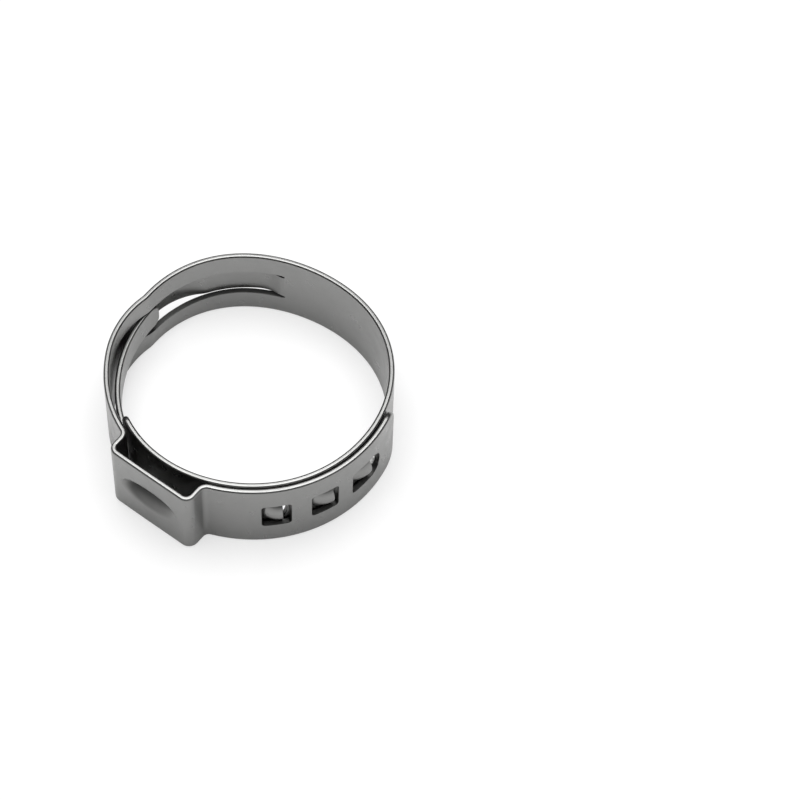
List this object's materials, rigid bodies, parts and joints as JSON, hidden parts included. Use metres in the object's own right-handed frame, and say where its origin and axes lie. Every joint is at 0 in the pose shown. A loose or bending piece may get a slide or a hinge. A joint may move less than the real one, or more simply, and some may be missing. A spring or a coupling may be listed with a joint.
{
  "type": "ear hose clamp",
  "caption": "Stepless ear hose clamp bent from stainless strip, with a dimpled ear, a tongue that slides in a raised channel, and hooks caught in windows where the strip laps.",
  "frame": {"origin": "on the axis of the bore, at half the width of the strip", "axes": "+Z along the bore, up from the edge that the clamp lies on; the ear stands out at 231.2 degrees from +X, counter-clockwise seen from +Z"},
  "size_m": [0.0292, 0.0304, 0.009],
  "materials": {
    "clamp_band": "cold-rolled stainless strip, satin, with smooth rounded edges"
  },
  "bodies": {
    "root": {"clamp_band": "clamp_band"}
  },
  "joints": []
}
